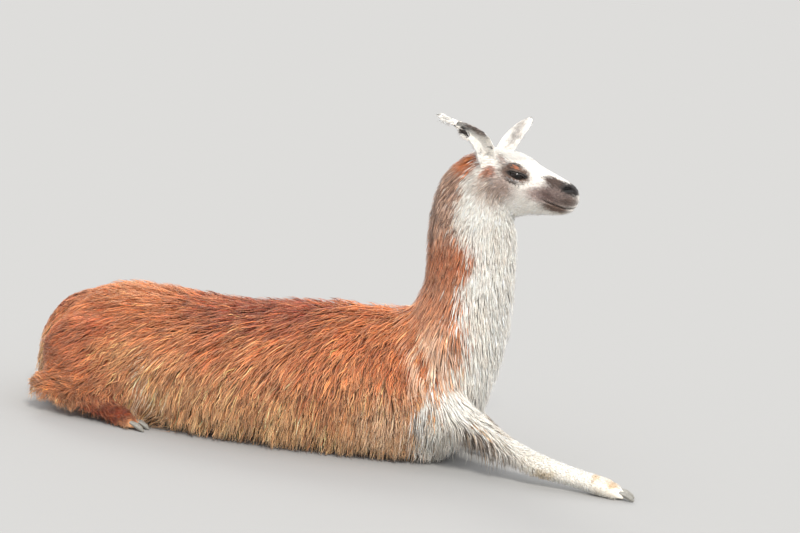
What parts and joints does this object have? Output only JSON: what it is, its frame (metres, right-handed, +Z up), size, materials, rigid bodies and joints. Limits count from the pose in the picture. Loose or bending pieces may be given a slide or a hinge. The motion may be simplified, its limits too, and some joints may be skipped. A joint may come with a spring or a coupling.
{
  "type": "llama lying down",
  "caption": "Life-size llama at rest on its folded legs, one foreleg stretched out in front, head up, with a long brown and white coat.",
  "frame": {"origin": "on the floor under the middle of the trunk, on the flat of the belly", "axes": "+X towards the head, +Y to the animal's left, +Z up; the animal lies on z = 0"},
  "size_m": [1.7732, 0.56, 0.9814],
  "materials": {
    "coat_brown": "long loose reddish-brown coat, paler at its tips",
    "coat_cream": "long loose off-white coat with brown along the nape and dense short hair on the legs",
    "coat_white": "short dense white hair with grey-brown patches",
    "eye": "wet, near-black",
    "nail": "smooth grey horn"
  },
  "bodies": {
    "root": {"trunk": "coat_brown", "neck": "coat_cream", "head": "coat_white", "ear_right": "coat_white", "ear_left": "coat_white", "tail": "coat_brown", "eye_right": "eye", "eye_left": "eye", "foreleg_right": "coat_cream", "foreleg_left": "coat_cream", "hindleg_right": "coat_brown", "hindleg_left": "coat_brown", "nail_foreleg_right_right": "nail", "nail_foreleg_right_left": "nail", "nail_foreleg_left_right": "nail", "nail_foreleg_left_left": "nail", "nail_hindleg_right_right": "nail", "nail_hindleg_right_left": "nail", "nail_hindleg_left_right": "nail", "nail_hindleg_left_left": "nail"}
  },
  "joints": []
}
